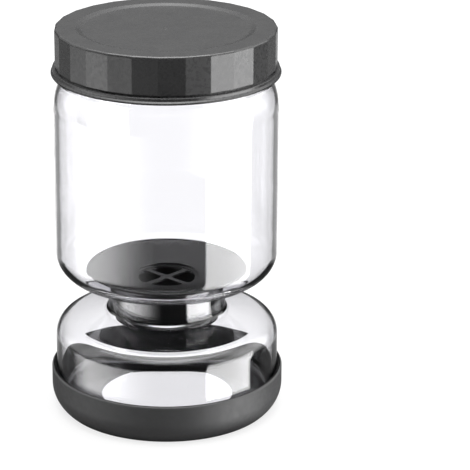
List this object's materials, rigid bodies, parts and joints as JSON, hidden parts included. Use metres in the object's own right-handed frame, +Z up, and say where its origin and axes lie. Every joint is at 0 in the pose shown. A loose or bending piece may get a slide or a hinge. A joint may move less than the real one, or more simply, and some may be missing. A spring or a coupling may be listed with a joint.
{
  "type": "hourglass pickle jar with strainer",
  "caption": "Hourglass glass jar with a strainer in its waist, a faceted screw lid and a soft base ring; brine drains into the lower chamber when it stands.",
  "frame": {"origin": "centre of the underside of the base, where the jar stands", "axes": "+Z up along the jar's axis, towards the lid; one edge between two lid facets lies on +X"},
  "size_m": [0.112, 0.112, 0.1887],
  "materials": {
    "base_soft": "matt moulded silicone, dark grey",
    "clear_glass": "clear, fire polished",
    "strainer_plastic": "glossy moulded plastic, black",
    "lid_plastic": "finely textured mid grey plastic"
  },
  "bodies": {
    "root": {"base": "base_soft", "jar": "clear_glass", "strainer": "strainer_plastic", "lid": "lid_plastic"}
  },
  "joints": []
}
